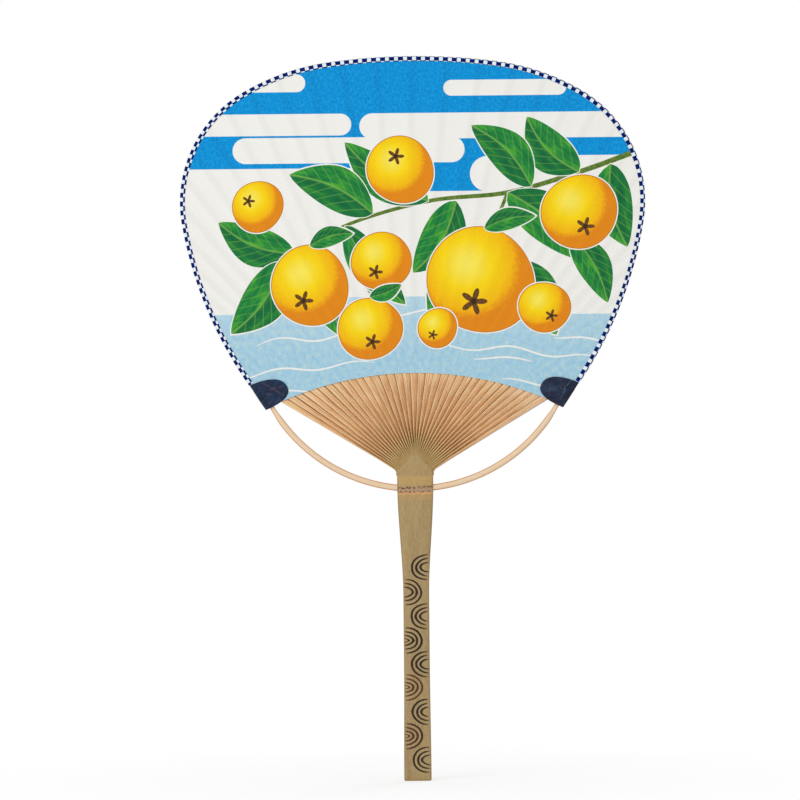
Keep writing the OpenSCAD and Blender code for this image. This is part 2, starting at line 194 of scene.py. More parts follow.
# Meshes. A map has two numbers for each corner of a face, or four, of which the last two go to "Second".
def add_mesh(name, verts, faces, materials, face_material, uv, replaces, sharp=None):
    me = bpy.data.meshes.new(name)
    me.from_pydata([(x * MM, y * MM, z * MM) for x, y, z in verts], [], faces)
    for m in materials:
        me.materials.append(m)
    if face_material is not None:
        me.polygons.foreach_set("material_index", np.asarray(face_material, np.int32))
    uv = np.asarray(uv, np.float32)
    for i, layer_name in enumerate(("UVMap", "Second")[:uv.shape[1] // 2]):
        layer = me.uv_layers.new(name=layer_name)
        layer.data.foreach_set("uv", uv[:, 2 * i:2 * i + 2].ravel())
    me.polygons.foreach_set("use_smooth", np.full(len(faces), True))
    me.update()
    if sharp is not None:
        me.set_sharp_from_angle(angle=RAD(sharp))
    ob = bpy.data.objects.new(name, me)
    scene.collection.objects.link(ob)
    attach(ob, "root")
    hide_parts(*replaces)
    return ob


def loop_uv(faces, uv):
    return [uv[i] for f in faces for i in f]


def sweep(rings):
    """A closed skin over rings of equal length that run the same way round."""
    n, m = len(rings), len(rings[0])
    verts = [tuple(p) for r in rings for p in r]
    faces = [(i * m + j, i * m + (j + 1) % m, (i + 1) * m + (j + 1) % m, (i + 1) * m + j)
             for i in range(n - 1) for j in range(m)]
    return verts, faces + [tuple(range(m))[::-1], tuple(range((n - 1) * m, n * m))]


def grid(first, rows, cols, flip):
    """Faces between the points of a grid, whose number first is its first point."""
    faces = []
    for i in range(rows - 1):
        for j in range(cols - 1):
            a = first + i * cols + j
            f = (a, a + cols, a + cols + 1, a + 1)
            faces.append(f[::-1] if flip else f)
    return faces


def joined(*parts):
    """Several (verts, faces, uv, material number or numbers) as one mesh, with four-number maps."""
    verts, faces, uvs, numbers = [], [], [], []
    for v, f, uv, number in parts:
        base = len(verts)
        verts += v
        faces += [tuple(i + base for i in face) for face in f]
        uvs += [(*uv[i], 0.0, 0.0)[:4] for face in f for i in face]
        numbers += [number] * len(f) if isinstance(number, int) else number
    return verts, faces, uvs, numbers


def linear(colour):
    """An sRGB colour of 0 to 255 as a shader wants it."""
    return tuple(((c / 255 + 0.055) / 1.055) ** 2.4 if c > 10 else c / 255 / 12.92 for c in colour) + (1,)


class Nodes:
    """A material's node tree, with short calls for the nodes that are used here. Colours are (r, g, b) in
    sRGB, from 0 to 255."""

    def __init__(self, name, roughness, specular):
        self.mat = bpy.data.materials.new(name)
        self.mat.use_nodes = True
        self.tree = self.mat.node_tree
        self.bsdf = self.tree.nodes["Principled BSDF"]
        self.bsdf.inputs["Roughness"].default_value = roughness
        self.bsdf.inputs["Specular IOR Level"].default_value = specular

    def put(self, socket, value):
        if isinstance(value, bpy.types.NodeSocket):
            self.tree.links.new(value, socket)
        elif isinstance(value, tuple) and len(socket.default_value) == 4:
            socket.default_value = linear(value)
        else:
            socket.default_value = value

    def node(self, kind, out=0, settings=(), **inputs):
        """A node's output. Inputs go by name, or by number as i0, i1 and so on."""
        n = self.tree.nodes.new("ShaderNode" + kind)
        for key, value in settings:
            setattr(n, key, value)
        for key, value in inputs.items():
            self.put(n.inputs[int(key[1:])] if key[1:].isdigit() else n.inputs[key], value)
        return n.outputs[out]

    def uv(self, layer="UVMap"):
        return self.node("UVMap", settings=(("uv_map", layer),))

    def place(self):
        return self.node("TexCoord", 3)

    def scaled(self, vector, scale):
        return self.node("VectorMath", settings=(("operation", "MULTIPLY"),), i0=vector, i1=scale)

    def split(self, vector):
        n = self.tree.nodes.new("ShaderNodeSeparateXYZ")
        self.put(n.inputs[0], vector)
        return n.outputs

    def math(self, op, a, b=0.0, clamp=False):
        n = self.tree.nodes.new("ShaderNodeMath")
        n.operation, n.use_clamp = op, clamp
        self.put(n.inputs[0], a)
        self.put(n.inputs[1], b)
        return n.outputs[0]

    def add(self, a, b, clamp=False):
        return self.math("ADD", a, b, clamp)

    def sub(self, a, b):
        return self.math("SUBTRACT", a, b)

    def mul(self, a, b, clamp=False):
        return self.math("MULTIPLY", a, b, clamp)

    def size(self, a):
        return self.math("ABSOLUTE", a)

    def rise(self, x, start, width):
        """0 up to start, 1 from start + width on, and straight between."""
        return self.math("DIVIDE", self.sub(x, start), width, True)

    def fall(self, x, start, width):
        return self.sub(1.0, self.rise(x, start, width))

    def swing(self, x, amount):
        """A noise of 0 to 1 as a number that swings about 0."""
        return self.mul(self.sub(x, 0.5), amount)

    def noise(self, vector, scale, detail=3.0, rough=0.55):
        n = self.tree.nodes.new("ShaderNodeTexNoise")
        self.put(n.inputs["Vector"], vector)
        for key, v in (("Scale", scale), ("Detail", detail), ("Roughness", rough)):
            n.inputs[key].default_value = v
        return n.outputs["Fac"]

    def grain(self, scale, detail=3.0, rough=0.55):
        """A noise over the place in metres, with a scale for each axis."""
        return self.noise(self.scaled(self.place(), scale), 1.0, detail, rough)

    def ramp(self, value, *stops):
        """A colour ramp through stops of (position, colour or number)."""
        n = self.tree.nodes.new("ShaderNodeValToRGB")
        self.put(n.inputs[0], value)
        els = n.color_ramp.elements
        while len(els) < len(stops):
            els.new(0.5)
        for e, (pos, col) in zip(els, sorted(stops, key=lambda s: s[0])):
            e.position = pos
            e.color = linear(col) if isinstance(col, tuple) else (col, col, col, 1)
        return n.outputs[0]

    def mix(self, factor, a, b, blend="MIX"):
        n = self.tree.nodes.new("ShaderNodeMix")
        n.data_type, n.blend_type = "RGBA", blend
        self.put(n.inputs[0], factor)
        self.put(n.inputs[6], a)
        self.put(n.inputs[7], b)
        return n.outputs[2]

    def colour(self, value):
        self.put(self.bsdf.inputs["Base Color"], value)

    def done(self, colour, height, distance=0.03, strength=0.4):
        """The material, once it has its colour and a bump of some mm."""
        self.colour(colour)
        bump = self.node("Bump", Strength=strength, Distance=distance * MM, Height=height)
        self.tree.links.new(bump, self.bsdf.inputs["Normal"])
        return self.mat


# The handle
def half_width(z):
    return np.where(z < WAIST_Z, END_W + (WAIST_W - END_W) * ease(0, WAIST_Z, z),
                    WAIST_W + (NECK_W - WAIST_W) * ease(FLARE_Z, NODE_Z + 3, z)) / 2


def shaved(z):
    """How much thinner each side gets towards the split."""
    return (HANDLE_T - SPLIT_T) / 2 * ease(NODE_Z + 2, SHOULDER_Z, z)


def bulge(u):
    """The front's cross-section: 1 in the middle, 0 at the edges."""
    return max(0.0, 1 - abs(u) ** FRONT_POWER) ** (1 / FRONT_POWER)


def front_height(z):
    """How far the middle of the front stands out, with the swelling at the node."""
    node = NODE_RISE * math.exp(-(((z - NODE_Z) / NODE_SOFT) ** 2))
    return HANDLE_T / 2 - NODE_RISE - float(shaved(z)) + node


def split_depth(x):
    return SPLIT_T / 2 * bulge(min(1, abs(x) / (NECK_W / 2)))


def handle_mesh():
    """Columns from side to side, front and back, each up to the pointed split line."""
    cols, extra = 40, 8
    levels = [0.0, 0.25, END_ROUND] + [1.5 + i * 2.0 for i in range(71)]
    levels += [144 + i * 0.5 for i in range(16)] + [152 + i * 0.7 for i in range(5)] + [SHOULDER_Z]
    verts, uv = [], []
    for side in (-1, 1):
        for i in range(cols + 1):
            u = math.sin((i / cols - 0.5) * math.pi)
            rise = split_line(u * NECK_W / 2) - SHOULDER_Z
            col = [(z, float(half_width(z))) for z in levels]
            col += [(SHOULDER_Z + rise * j / extra, NECK_W / 2) for j in range(1, extra + 1)]
            for z, hw in col:
                shrink = END_ROUND / 2 * max(0, 1 - z / END_ROUND)
                if side < 0:
                    y = shrink * 0.8 - front_height(z) * bulge(u)
                else:
                    thick = HANDLE_T / 2 - float(shaved(z))
                    y = thick * max(0.0, 1 - abs(u) ** 9) ** (1 / 5) - shrink * 0.8
                verts.append((u * (hw - shrink), y, z))
                uv.append((u, z))
    n = len(levels) + extra
    back = (cols + 1) * n
    faces = grid(0, cols + 1, n, False) + grid(back, cols + 1, n, True)
    for i in range(cols):
        a, b = i * n, (i + 1) * n
        faces.append((b, a, back + a, back + b))
        a, b = a + n - 1, b + n - 1
        faces.append((a, b, back + b, back + a))
    for i in (0, cols):
        for j in range(n - 1):
            a = i * n + j
            f = (a, a + 1, back + a + 1, back + a)
            faces.append(f[::-1] if i else f)
    return verts, faces, uv


def skin_colour(n):
    """Bamboo skin: long fibres, slow changes of tone, and the node, a rough dark line between pale bands."""
    fine = n.grain((1900, 1900, 420), 4.0, 0.6)
    tone = n.add(n.mul(fine, 0.65), n.mul(n.grain((160, 160, 25), 2.0), 0.35))
    base = n.ramp(tone, (0.3, (146, 122, 80)), (0.5, (169, 144, 99)), (0.7, (184, 159, 113)))
    z = n.split(n.place())[2]
    h = n.sub(n.add(z, n.swing(n.grain((420, 0, 90)), 0.0028)), NODE_Z * MM)

    def band(at, half, soft):
        return n.fall(n.size(n.sub(h, at * MM)), half * MM, soft * MM)

    blotch = n.grain((900, 0, 900), 3.0, 0.7)
    mottle = n.ramp(n.grain((500, 0, 700), 4.0, 0.7), (0.4, 0.55), (0.6, 1.0))
    for at, half, soft, share, tone in (
            (15.0, 5.0, 6.0, 0.35, (194, 158, 106)), (4.0, 1.5, 1.8, 0.6, (206, 166, 96)),
            (-4.0, 1.2, 0.6, 0.55, (194, 156, 96)), (-2.3, 0.45, 0.35, 0.85, (226, 164, 106)),
            (-0.6, 1.15, 0.35, 0.85, (176, 138, 112))):
        base = n.mix(n.mul(n.mul(band(at, half, soft), share), mottle), base, tone)
    dark, light = n.ramp(blotch, (0.48, 0.0), (0.56, 1.0)), n.ramp(blotch, (0.38, 1.0), (0.46, 0.0))
    base = n.mix(n.mul(light, band(-0.6, 0.6, 0.3)), base, (198, 168, 138))
    base = n.mix(n.mul(dark, band(0.6, 0.3, 0.35)), base, (66, 36, 26))
    base = n.mix(n.mul(dark, band(-1.5, 0.15, 0.25)), base, (84, 48, 36))
    return base, fine


def skin_material(name, burnt=False):
    """The skin, darker at the handle's edges. Burnt, it is the ribbon of an arc: black, with a pale border
    and brown ends."""
    n = Nodes(name, 0.5, 0.3)
    base, fine = skin_colour(n)
    u, v, _ = n.split(n.uv())
    side = n.size(u)
    if burnt:
        core = n.fall(n.add(side, n.swing(n.grain((1500, 0, 1500), 3.0, 0.6), 0.7)), 0.5, 0.24)
        end = n.rise(n.size(n.sub(v, 0.5)), 0.4, 0.1)
        brown = n.add(n.mul(end, 0.5), n.split(n.uv("Second"))[0], clamp=True)
        base = n.mix(n.mul(n.fall(side, 0.75, 0.25), 0.5), base, (200, 168, 112))
        base = n.mix(n.mul(core, n.sub(1.0, n.mul(end, 0.3))), base,
                     n.mix(brown, (14, 8, 8), (88, 48, 24)))
    else:
        base = n.mix(n.mul(n.rise(side, 0.9, 0.1), 0.55), base, (120, 88, 50))
    return n.done(base, fine, 0.03, 0.5)


# The burnt marks: their side and height, and each arc's half height, reach and how pointed it is
BURNS = [(1, z) for z in (107.7, 82.9, 58.8, 34.7, 10.6)] + [(-1, z) for z in (95.1, 70.8, 47.2, 22.6)]
BURN_ARCS = ((6.35, 9.0, 0.8), (4.4, 6.8, 0.9), (2.5, 4.7, 1.0), (0.9, 2.6, 1.2))


def burn_mesh():
    """The burnt arcs: ribbons that lie on the handle's front, in groups of three or four."""
    rnd = random.Random(7)
    steps = 44
    verts, faces, uv = [], [], []
    for side, zc in BURNS:
        for half_h, reach, point in BURN_ARCS if side < 0 and zc < 90 else BURN_ARCS[:3]:
            brown = rnd.uniform(0.3, 0.9) if side < 0 and zc < 60 else rnd.uniform(0.0, 0.2)
            wob = [rnd.uniform(-0.5, 0.5) * min(1, half_h / 4) for _ in range(6)]
            first = len(verts)
            width = rnd.uniform(1.5, 1.75) if half_h > 1 else 1.2
            short = 0.008 if side < 0 else 0.09 if half_h < 5 else 0.03
            start, stop = rnd.uniform(0.0, short), 1 - rnd.uniform(0.0, short)
            for i in range(steps + 1):
                t = (start + (stop - start) * i / steps - 0.5) * math.pi
                w = sum(wob[q] * math.sin((q + 1) * t * 1.7 + q) for q in range(3)) * 0.5
                for e in (-1, 0, 1):
                    r = 1 + e * width * 0.5 / ((half_h + reach) / 2)
                    z = zc + (half_h * r + w * 0.4) * math.sin(t)
                    hw = float(half_width(z))
                    x = side * (hw - (reach * r + w * 0.4) * math.cos(t) ** point)
                    x = max(-hw * 0.995, min(hw * 0.995, x))
                    z = max(0.8, z)
                    verts.append((x, -front_height(z) * bulge(x / hw) - 0.015, z))
                    uv.append((e, i / steps, brown, 0.0))
            for i in range(steps):
                for e in (0, 1):
                    a = first + i * 3 + e
                    f = (a, a + 1, a + 4, a + 3)
                    faces.append(f if side > 0 else f[::-1])
    return verts, faces, uv


# The ribs
OWN = 8.0  # a rib's map lies this far from the next one's, so that each has a number of its own
OPEN_FROM = 13  # from this rib on, the photo shows light through the gaps
RIB_SIDES = ("face", "skin", "inner")  # the wide faces, the edge of bamboo skin, and the edge that lies deep


def rib_room(k, t):
    """Space that a rib has across it, from the root (t = 0) to the leaf's lower edge (t = 1)."""
    root = abs(cross(rib_root(k + 0.5) - rib_root(k - 0.5), rib_dir(k)))
    return root + (rib_w(k) + SLAT_GAP - root) * t


def rib_stations(k):
    """Places along a rib: point, direction, width, tilt. It turns so that it just laps over the next one."""
    hem = RAD(HEM_TILT)
    full = float(rib_w(k) + SLAT_GAP + LAP - RIB_T * math.sin(hem)) / math.cos(hem)
    deep = 2 * (split_depth(abs(k) * SPLIT_PITCH + RIB_T / 2) - 0.12)
    deep = min(full, max(deep, 1.6))

    def tilt(w, t):
        seen = rib_room(k, t) + LAP * (2 - t)
        return math.degrees(math.atan2(RIB_T, w) + math.acos(min(1, seen / math.hypot(w, RIB_T))))

    r, e, d = rib_root(k), rib_edge(k), rib_dir(k)
    kink = r + 1j
    a, b = r - 0.5j, kink + 2.5 * d
    upright = tilt(deep, 0)
    out = [(r - 2j, 1j, deep, upright), (a, 1j, deep, upright)]
    for t in (1 / 6, 1 / 3, 1 / 2, 2 / 3, 5 / 6):
        p = (1 - t) ** 2 * a + 2 * t * (1 - t) * kink + t * t * b
        out.append((p, unit((1 - t) * (kink - a) + t * (b - kink)), deep, upright))
    length = abs(e - b)
    for t in np.linspace(0, 1, 19):
        w = deep + (full - deep) * ease(0, 18, t * length)
        out.append((b + t * length * d, d, w, tilt(w, t)))
    return out + [(e + 4 * d, d, full, HEM_TILT / 2), (e + 8 * d, d, full, 0.0)]


def rib_mesh(k, rnd):
    """A rib: a flat section that turns from edge-on at the root to flat in the leaf, with worn corners.
    Its first map holds the place across (plus a number for the rib) and along, the second the width."""
    stations = rib_stations(k)
    rings, uv, corner = [], [], 0.07
    shape = [(-1, -1, 0, 1), (-1, -1, 1, 0), (1, -1, 1, 0), (1, -1, 0, 1),
             (1, 1, 0, 1), (1, 1, 1, 0), (-1, 1, 1, 0), (-1, 1, 0, 1)]
    own = OWN * (k + SIDE_RIBS + 1)
    sway = rnd.uniform(-0.02, 0.02)
    along, last = 0.0, stations[0][0]
    for p, d, w, tilt in stations:
        nx = d.imag - 1j * d.real
        a = RAD(tilt)
        along += abs(p - last)
        last = p
        thick = RIB_T + (rib_room(k, 0) + 0.02 - RIB_T) * (1 - float(ease(5, 15, along)))
        seen = abs(w * math.cos(a)) + thick * math.sin(a)
        ring = []
        for u, v, du, dv in shape:
            x, y = u * (w / 2 - corner * du), v * (thick / 2 - corner * dv)
            q = p + (x * math.cos(a) - y * math.sin(a) + sway * math.sin(along / 9)) * nx
            ring.append((q.real, x * math.sin(a) + y * math.cos(a), q.imag))
            uv.append((own + 2 * x / w, along, seen, 0.0))
        rings.append(ring)
    p, d = rib_edge(k), rib_dir(k)
    nx = d.imag - 1j * d.real
    ring = []
    for u, v, du, dv in shape:
        h = leaf_exit(p + u * w / 2 * nx, d, 0.6)
        ring.append((h.real, v * (RIB_T / 2 - corner * dv), h.imag))
        uv.append((own + u, along + 40, w, 0.0))
    rings.append(ring)
    verts, faces = sweep(rings)
    numbers = [2 if j in (0, 6, 7) else 3 if j in (2, 3, 4) else 1 for j in range(len(shape))]
    return verts, faces, uv, numbers * (len(rings) - 1) + [1, 1]


def slat_material(name, kind):
    """The look of one of a rib's sides."""
    n = Nodes(name, 0.8, 0.0)
    u, v, _ = n.split(n.uv())
    seen = n.split(n.uv("Second"))[0]
    own = n.math("FLOOR", n.math("DIVIDE", n.add(u, OWN / 2), OWN))
    across = n.sub(u, n.mul(own, OWN))
    tone = n.node("TexWhiteNoise", 0, settings=(("noise_dimensions", "1D"),), W=own)
    fine = n.noise(n.node("CombineXYZ", i0=n.mul(u, 1.1), i1=n.mul(v, 0.03), i2=0.0), 3.0, 4.0, 0.65)
    fade = n.rise(v, 8.0, 26.0)
    if kind == "face":
        base = n.ramp(fine, (0.34, (216, 158, 110)), (0.5, (246, 200, 148)), (0.66, (255, 232, 192)))
        # painted shade: where little of the face is seen, as it lies deep between its neighbours, it is
        # darker
        deep = n.mix(n.rise(v, 6.0, 10.0), (172, 144, 94), (194, 138, 86))
        base = n.mix(n.rise(seen, 0.7, 1.5), deep, base)
        # a painted highlight along the left edge and a painted shadow along the right edge, where the next
        # rib begins
        left = n.mul(n.mul(n.add(across, 1.0), 0.5), seen)
        right = n.mul(n.mul(n.sub(1.0, across), 0.5), seen)
        line = n.math("MINIMUM", n.mul(seen, 0.24), n.add(0.28, n.mul(n.rise(v, 38.0, 34.0), 0.26)))
        painted_highlight = n.mul(n.fall(left, line, line), n.rise(seen, 0.9, 1.2))
        base = n.mix(n.mul(painted_highlight, 0.55), base, (250, 222, 182))
        # the painted shadow's colour, browner near the root
        gap = n.mix(fade, (130, 84, 44), (84, 60, 62))
        # in the outer ribs the painted shadow gives way to a painted pale tone, the lit background seen
        # through the gap
        through = n.mul(n.math("GREATER_THAN", own, SIDE_RIBS + OPEN_FROM + 0.5), n.rise(v, 24.0, 20.0))
        gap = n.mix(n.mul(through, 0.85), gap, (184, 174, 190))
        # how strong the painted shadow is: none near the root, and different from rib to rib
        share = n.mul(n.rise(v, 8.0, 14.0), n.add(0.55, n.mul(tone, 0.4)))
        base = n.mix(n.mul(n.fall(right, line, n.mul(line, 0.6)), share), base, gap)
    elif kind == "skin":
        base = n.ramp(fine, (0.3, (196, 158, 106)), (0.5, (226, 194, 142)), (0.7, (246, 218, 172)))
        root = n.ramp(fine, (0.3, (164, 136, 88)), (0.7, (184, 156, 104)))
        olive = n.ramp(fine, (0.3, (196, 160, 104)), (0.7, (230, 196, 138)))
        base = n.mix(fade, n.mix(n.rise(v, 5.0, 9.0), root, olive), base)
    else:
        base = n.ramp(fine, (0.3, (150, 102, 62)), (0.7, (184, 136, 90)))
    return n.done(n.mix(n.mul(tone, 0.12), base, (170, 116, 70)), fine)


def build_stick():
    rnd = random.Random(3)
    parts = [(*handle_mesh(), 0), (*burn_mesh(), 4)]
    parts += [rib_mesh(k, rnd) for k in range(-SIDE_RIBS, SIDE_RIBS + 1)]
    verts, faces, uv, numbers = joined(*parts)
    mats = [skin_material("bamboo_skin")] + [slat_material("slat_" + kind, kind) for kind in RIB_SIDES]
    mats.append(skin_material("bamboo_burnt", True))
    add_mesh("stick", verts, faces, mats, numbers, uv, ("bamboo_stick",), 35)


# The bow
def bow_material():
    """Peeled bamboo, browner at the bow's edges and most at its outer one."""
    n = Nodes("bow_bamboo", 0.55, 0.3)
    u, v, _ = n.split(n.uv())
    fine = n.noise(n.node("CombineXYZ", i0=u, i1=n.mul(v, 0.05), i2=0.0), 5.0, 4.0, 0.65)
    tone = n.add(n.mul(fine, 0.7), n.mul(n.grain((90, 90, 60), 2.0), 0.3))
    base = n.ramp(tone, (0.32, (232, 202, 164)), (0.5, (238, 211, 176)), (0.68, (242, 218, 186)))
    base = n.mix(n.mul(n.rise(u, 0.45, 0.4), 0.5), base, (232, 172, 112))
    return n.done(n.mix(n.mul(n.rise(n.size(u), 0.62, 0.2), 0.8), base, (208, 142, 88)), fine)


def build_bow():
    taper, tip, tip_l = RAD(53), RAD(59.5), 8
    entry_w, tip_w, tip_t = 2.3, 1.8, 0.5
    rings, uv, m = [], [], 28

    def ring(a, beyond, w, t):
        """A section at the angle a, or beyond that by some mm straight on."""
        out = math.sin(a) - 1j * math.cos(a)
        c = BOW_C + BOW_R * out + beyond * (math.cos(a) + 1j * math.sin(a))
        r = []
        for j in range(m):
            b = 2 * math.pi * j / m
            q = c + w / 2 * math.cos(b) * out
            r.append((q.real, t / 2 * math.sin(b), q.imag))
            uv.append((math.cos(b), a * BOW_R + beyond))
        rings.append(r)

    ring(-tip, -tip_l, tip_w, tip_t)
    for a in np.linspace(-tip, tip, 161):
        f = float(ease(taper, tip, abs(a)))
        ring(a, 0, BOW_D + (entry_w - BOW_D) * f, BOW_D + (tip_t - BOW_D) * f)
    ring(tip, tip_l, tip_w, tip_t)
    verts, faces = sweep(rings)
    uv = loop_uv(faces, uv)
    add_mesh("bow_piece", verts, faces, [bow_material()], None, uv, ("bow",), 50)


# The thread keeps its CAD solid
def dress_thread():
    n = Nodes("thread_cotton", 0.9, 0.1)
    twist = n.node("TexWave", 1, i0=n.scaled(n.place(), (3000, 3000, 3000)), i1=1.0)
    n.colour(n.mix(twist, (206, 196, 170), (232, 224, 204)))
    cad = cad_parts["binding_thread"]
    cad.data.materials.clear()
    cad.data.materials.append(n.mat)


# The leaves
def inside(p, poly):
    """Which of the points p lie inside a closed polygon."""
    x, y = p.real[:, None], p.imag[:, None]
    a, b = poly[None, :], np.roll(poly, -1)[None, :]
    hit = (a.imag > y) != (b.imag > y)
    with np.errstate(divide="ignore", invalid="ignore"):
        cut = (b.real - a.real) * (y - a.imag) / (b.imag - a.imag) + a.real
    return (np.sum(hit & (x < cut), axis=1) % 2) == 1


def leaf_border():
    """The leaf's closed border: its rim from left to right over the top, then its hem back to the left."""
    rim = both_sides(outline(RIM_INSET, 1.5, CORNER_A - RAD(0.2)))
    a = float(slope_of(rim[-1] - THROAT_C))
    n = 180
    hem = [THROAT_C + THROAT_R * direction(a * (1 - 2 * i / n)) for i in range(n + 1)]
    return list(rim) + hem[1:-1]


def fold_lines():
    """Lines along the ribs, their edges and the valleys, as lists of points about 7 mm apart."""
    lines = []
    for k in range(-SIDE_RIBS, SIDE_RIBS + 1):
        e, d = rib_edge(k), rib_dir(k)
        nx = d.imag - 1j * d.real
        for off, begin in ((0, 0), (1.72, 0), (-1.72, 0), (2.6, 30), (-2.6, 30), (4.2, 75), (-4.2, 75)):
            p = circle_exit(e + off * nx, d, THROAT_C, THROAT_R + begin)
            q = leaf_exit(e + off * nx, d, RIM_INSET)
            if abs(q - p) > 3 and abs(slope_of(p - THROAT_C)) < 0.45:
                lines.append((p, q))
        if k < SIDE_RIBS:
            e, d = rib_edge(k + 0.5), rib_dir(k + 0.5)
            lines.append((circle_exit(e, d, THROAT_C, THROAT_R + 2), leaf_exit(e, d, RIM_INSET)))
    out = []
    for p, q in lines:
        n = max(2, int(abs(q - p) / 7))
        out.append([p + (q - p) * i / n for i in range(n + 1)])
    return out


def leaf_sheet(name, side, shapes, materials, inner_material, node):
    """A paper leaf, cut along the printed shapes and along the folds over the ribs. shapes is a list of
    (outline, material number, function that gives a local place). Its second map tells how far a rib is."""
    border = leaf_border()
    chains = [border + [border[0]]] + fold_lines()
    chains += [list(s[0]) + [s[0][0]] for s in shapes]
    points, edges = [], []
    for c in chains:
        base = len(points)
        points += c
        edges += [(base + i, base + i + 1) for i in range(len(c) - 1)]
    co, _, tris, _, _, _ = delaunay_2d_cdt([Vector((q.real, q.imag)) for q in points], edges, [], 0, 1e-4)
    p = np.array([v[0] + 1j * v[1] for v in co])
    tri = np.array([t for t in tris if len(t) == 3])
    mid = p[tri].mean(axis=1)
    area = cross(p[tri[:, 1]] - p[tri[:, 0]], p[tri[:, 2]] - p[tri[:, 0]]) / 2
    keep = inside(mid, np.array(border)) & (np.abs(area) > 1e-5)
    tri, mid, area = tri[keep], mid[keep], area[keep]
    tri = np.where((area < 0)[:, None], tri[:, ::-1], tri)
    which = np.zeros(len(tri), int)
    owner = np.full(len(tri), -1)
    for i, (poly, number, _) in enumerate(shapes):
        hit = inside(mid, np.array(poly))
        which[hit], owner[hit] = number, i
    used, tri = np.unique(tri, return_inverse=True)
    p, tri = p[used], tri.reshape(-1, 3)
    level = relief(p)
    off, _ = rib_offset(p)
    n = len(p)
    verts = [(q.real, side * (h + PAPER_T), q.imag) for q, h in zip(p, level)]
    verts += [(q.real, side * h, q.imag) for q, h in zip(p, level)]
    outer = tri if side < 0 else tri[:, ::-1]
    inner = tri[:, ::-1] + n if side < 0 else tri + n
    sides = {}
    for t in outer:
        for a, b in ((t[0], t[1]), (t[1], t[2]), (t[2], t[0])):
            sides[(a, b)] = 1
    rims = [(b, a, a + n, b + n) for a, b in sides if (b, a) not in sides]
    faces = [tuple(map(int, f)) for part in (outer, inner, rims) for f in part]
    numbers = list(which) + [inner_material] * (len(inner) + len(rims))
    uv = []
    for f, o in zip(outer, owner):
        for v in f:
            local = shapes[o][2](p[v]) if o >= 0 and shapes[o][2] else p[v] / 100
            uv.append((local.real, local.imag, off[v], 0.0))
    uv += [(0.0, 0.0, off[v % n], 0.0) for f in faces[len(outer):] for v in f]
    add_mesh(name, verts, faces, materials, numbers, uv, (node,), 40)


def paper(name, colour, shade=0.05):
    """Paper of a colour, or of what colour(nodes) gives, a little darker where a rib lies under it."""
    n = Nodes(name, 0.75, 0.15)
    base = colour(n) if callable(colour) else colour
    off = n.add(n.split(n.uv("Second"))[0], n.swing(n.grain((300, 0, 60), 2.0), 2.2))
    fibre = n.grain((1500, 0, 900), 4.0, 0.7)
    grit = n.add(n.mul(fibre, 0.16), 0.92)
    dark = n.sub(grit, n.mul(n.fall(off, 0.7, 1.9), shade))
    tint = n.node("CombineColor", i0=dark, i1=dark, i2=dark)
    return n.done(n.mix(1.0, base, tint, "MULTIPLY"), fibre, 0.03, 0.35)


def blue_print(n):
    streak = n.grain((800, 0, 650), 5.0, 0.75)
    return n.ramp(streak, (0.3, (0, 122, 196)), (0.5, (0, 148, 220)), (0.7, (36, 172, 234)))


def pale_print(n):
    """Speckled pale blue, paler towards its upper edge."""
    h = n.add(n.split(n.place())[2], n.swing(n.grain((60, 0, 60)), 0.03))
    speck = n.grain((420, 0, 360), 5.0, 0.75)
    base = n.ramp(speck, (0.34, (152, 202, 230)), (0.5, (170, 212, 231)), (0.66, (196, 222, 224)))
    return n.mix(n.mul(n.rise(h, 0.215, 0.06), 0.75), base, (212, 230, 238))


def fruit_print(n):
    """Yellow, darker away from a light place at the upper left, with fine pores."""
    u, v, _ = n.split(n.uv())
    du, dv = n.sub(u, -0.25), n.sub(v, 0.3)
    r = n.math("SQRT", n.add(n.mul(du, du), n.mul(dv, dv)))
    pores = n.noise(n.scaled(n.uv(), (14, 14, 0)), 1.0, 3.0, 0.7)
    return n.ramp(n.add(r, n.swing(pores, 0.25)), (0.1, (255, 236, 90)), (0.45, (255, 220, 20)),
                  (0.85, (250, 186, 16)), (1.2, (232, 140, 24)))


def calyx_print(n):
    spots = n.noise(n.scaled(n.uv(), (9, 9, 0)), 1.0, 3.0, 0.7)
    return n.ramp(spots, (0.35, (66, 40, 22)), (0.5, (104, 66, 34)), (0.66, (150, 106, 40)))


def green_print(n):
    """A leaf's green with a light midrib and veins, darker on one half."""
    u, v, _ = n.split(n.uv())
    across = n.size(v)
    vein = n.math("FRACT", n.sub(n.mul(u, 7.0), n.mul(across, 2.2)))
    line = n.fall(n.size(n.sub(vein, 0.5)), 0.0, 0.09)
    soft = n.noise(n.scaled(n.uv(), (3, 3, 0)), 1.0, 3.0, 0.6)
    base = n.ramp(soft, (0.3, (18, 100, 62)), (0.5, (30, 132, 62)), (0.7, (78, 172, 54)))
    half = n.mul(n.math("GREATER_THAN", v, 0.0), n.sub(0.75, n.mul(across, 0.4)))
    base = n.mix(n.mul(half, 0.6), base, (14, 84, 58))
    light = n.math("MAXIMUM", n.mul(line, 0.45), n.mul(n.fall(across, 0.0, 0.07), 0.8))
    return n.mix(light, base, (132, 190, 84))


def stem_print(n):
    return n.ramp(n.grain((500, 0, 500)), (0.35, (70, 110, 40)), (0.65, (120, 140, 60)))


def round_shape(c, r, rnd, wob=0.03, n=56):
    ph = [rnd.uniform(0, 6.28) for _ in range(3)]
    turns = np.linspace(0, 2 * math.pi, n, endpoint=False)
    return [c + r * (1 + wob * math.sin(2 * a + ph[0]) + wob * 0.5 * math.sin(3 * a + ph[1])) * np.exp(1j * a)
            for a in turns]


